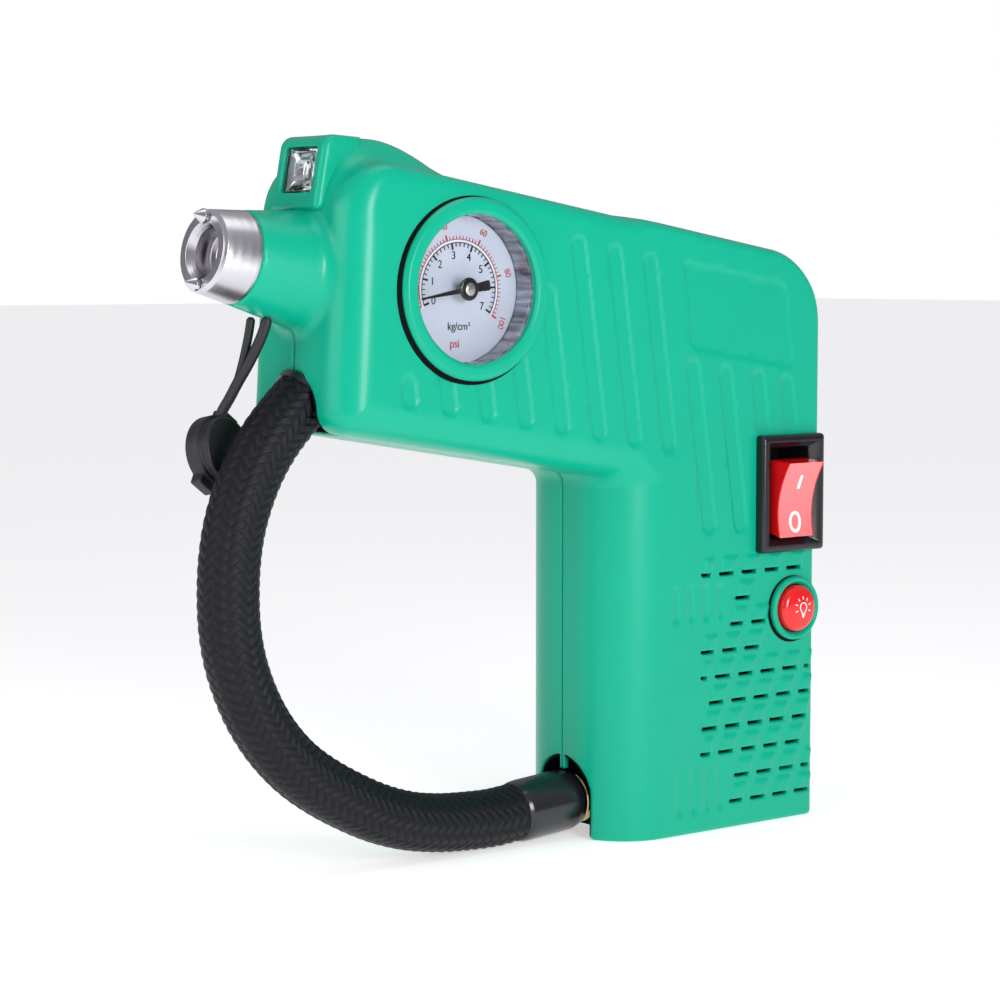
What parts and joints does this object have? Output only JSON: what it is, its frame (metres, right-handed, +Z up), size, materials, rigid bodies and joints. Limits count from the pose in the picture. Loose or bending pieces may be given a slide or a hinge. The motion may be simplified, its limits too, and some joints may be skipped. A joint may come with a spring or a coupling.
{
  "type": "handheld air pump",
  "caption": "Pistol-shaped 12 V air pump with a tilted barrel, pressure gauge, lamp, steel nose, rocker switch and a braided hose stowed as a loop before the grip.",
  "frame": {"origin": "centre of the grip's flat base", "axes": "+X from the nose to the back, +Z up out of the base, and the gauge and the switch face -Y"},
  "size_m": [0.1835, 0.0495, 0.1769],
  "materials": {
    "green_shell": "glossy moulded green plastic",
    "black_rubber": "soft black rubber",
    "hose_braid": "black braided textile sleeve",
    "black_plastic": "black moulded plastic",
    "red_plastic": "translucent red plastic",
    "steel": "turned steel",
    "chrome": "polished chrome",
    "brass": "machined brass",
    "aluminium": "cast aluminium",
    "clear_lens": "clear moulded lens",
    "dial_paint": "printed dial plate",
    "needle_paint": "black painted needle",
    "board": "circuit board",
    "led": "lamp chip",
    "copper": "copper windings",
    "nylon": "nylon gear",
    "tungsten": "hard metal tip"
  },
  "bodies": {
    "housing": {"right_shell": "green_shell", "left_shell": "green_shell", "housing_screws": "steel", "lamp_housing": "green_shell", "lamp_reflector": "chrome", "lamp_lens": "clear_lens", "lamp_board": "board", "lamp_led": "led", "gauge_ring": "green_shell", "gauge_case": "chrome", "gauge_dial": "dial_paint", "gauge_pivot": "steel", "gauge_glass": "clear_lens", "gauge_stem": "brass", "hammer_head": "steel", "hammer_tips": "tungsten", "nose_cap": "black_rubber", "cap_tether": "black_rubber", "hose_collar": "chrome", "air_hose": "hose_braid", "hose_ferrule": "black_plastic", "chuck_nut": "brass", "chuck_body": "brass", "stow_socket": "black_rubber", "switch_bezel": "black_plastic", "switch_body": "black_plastic", "rocker_pin": "steel", "switch_terminals": "brass", "button_collar": "green_shell", "light_switch": "black_plastic", "motor_can": "steel", "motor_end_cap": "black_plastic", "gearbox_frame": "aluminium", "gear_shaft": "steel", "pump_cylinder": "aluminium", "cylinder_head": "aluminium", "air_manifold": "brass", "outlet_elbow": "brass", "power_inlet": "black_plastic"},
    "needle": {"gauge_needle": "needle_paint"},
    "rocker": {"switch_rocker": "red_plastic"},
    "lamp_key": {"light_button": "red_plastic"},
    "rotor": {"motor_armature": "copper", "motor_shaft": "steel", "motor_pinion": "brass", "cooling_fan": "black_plastic"},
    "crank": {"crank_gear": "nylon"},
    "piston": {"piston_rod": "aluminium", "piston_cup": "black_rubber"}
  },
  "joints": [
    {"name": "needle_turn", "type": "hinge", "parent": "housing", "child": "needle", "pos_m": [-0.0807, -0.0188, 0.1408], "axis": [0, 1, 0], "range_deg": [0, 232]},
    {"name": "rocker_tilt", "type": "hinge", "parent": "housing", "child": "rocker", "pos_m": [0.0238, -0.0175, 0.087], "axis": [-1, 0, 0], "range_deg": [0, 20]},
    {"name": "lamp_key_press", "type": "slide", "parent": "housing", "child": "lamp_key", "axis": [0, 1, 0], "range_m": [0, 0.0015], "stiffness_N_per_m": 400},
    {"name": "rotor_spin", "type": "hinge", "parent": "housing", "child": "rotor", "pos_m": [-0.004, 0, 0.07], "axis": [0, 0, 1], "continuous": true},
    {"name": "crank_spin", "type": "hinge", "parent": "housing", "child": "crank", "pos_m": [-0.024, 0, 0.108], "axis": [0, 0, 1], "continuous": true},
    {"name": "piston_stroke", "type": "slide", "parent": "housing", "child": "piston", "axis": [1, 0, 0], "range_m": [0, 0.012]}
  ],
  "couplings": [
    {"joint": "crank_spin", "follows": "rotor_spin", "ratio": -0.25}
  ]
}
